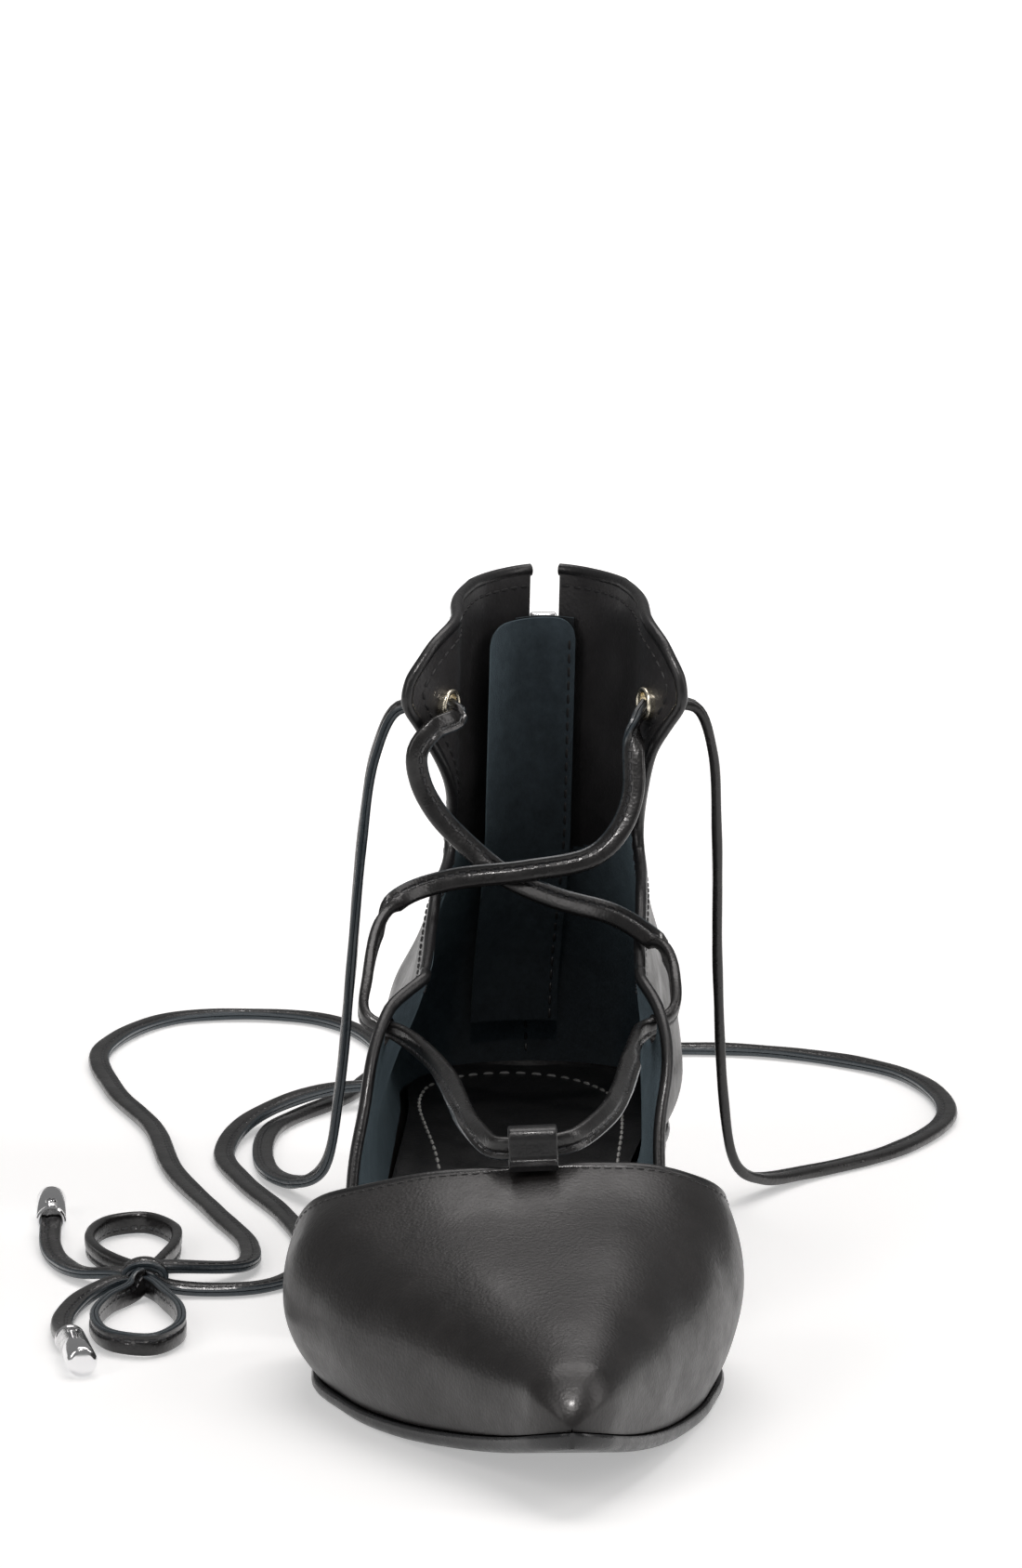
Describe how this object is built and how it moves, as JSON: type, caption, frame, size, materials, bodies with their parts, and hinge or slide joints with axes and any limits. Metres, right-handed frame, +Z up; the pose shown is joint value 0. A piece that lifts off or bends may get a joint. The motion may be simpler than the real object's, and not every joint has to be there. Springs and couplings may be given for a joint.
{
  "type": "womens lace-up ghillie flat shoe",
  "caption": "Black leather flat with a pointed closed vamp, a separate tall back piece with lacing ears, a back zip and long flat ties knotted in a bow.",
  "frame": {"origin": "on the floor, under the middle of the shoe's length and width, without its loose ties", "axes": "+Z up; the toe points to -Y and the heel to +Y; +X is the inner (big toe) side of a right shoe"},
  "size_m": [0.1854, 0.3886, 0.1207],
  "materials": {
    "upper_leather": "satin",
    "lace_leather": "satin",
    "sock_leather": "satin",
    "suede": "matt",
    "sole": "satin",
    "zip_tape": "matt",
    "metal": "polished"
  },
  "bodies": {
    "shoe": {"outsole": "sole", "heel_block": "sole", "heel_lift": "sole", "insole": "sock_leather", "vamp": "upper_leather", "quarter": "upper_leather", "lace_loop": "upper_leather", "eyelet_lateral": "metal", "eyelet_medial": "metal", "zip": "zip_tape", "zip_guard": "suede", "zip_slider": "metal", "lace_throat": "lace_leather", "lace_crossing": "lace_leather", "tie_lateral": "lace_leather", "tie_medial": "lace_leather", "bow_knot": "lace_leather", "bow_loop_front": "lace_leather", "bow_loop_back": "lace_leather", "bow_end_front": "lace_leather", "bow_end_back": "lace_leather", "aglet_front": "metal", "aglet_back": "metal"},
    "pull": {"zip_pull": "metal"}
  },
  "joints": [
    {"name": "pull_swing", "type": "hinge", "parent": "shoe", "child": "pull", "pos_m": [0.01139, 0.12893, 0.108], "axis": [1, 0, 0], "range_deg": [0, 150]}
  ]
}
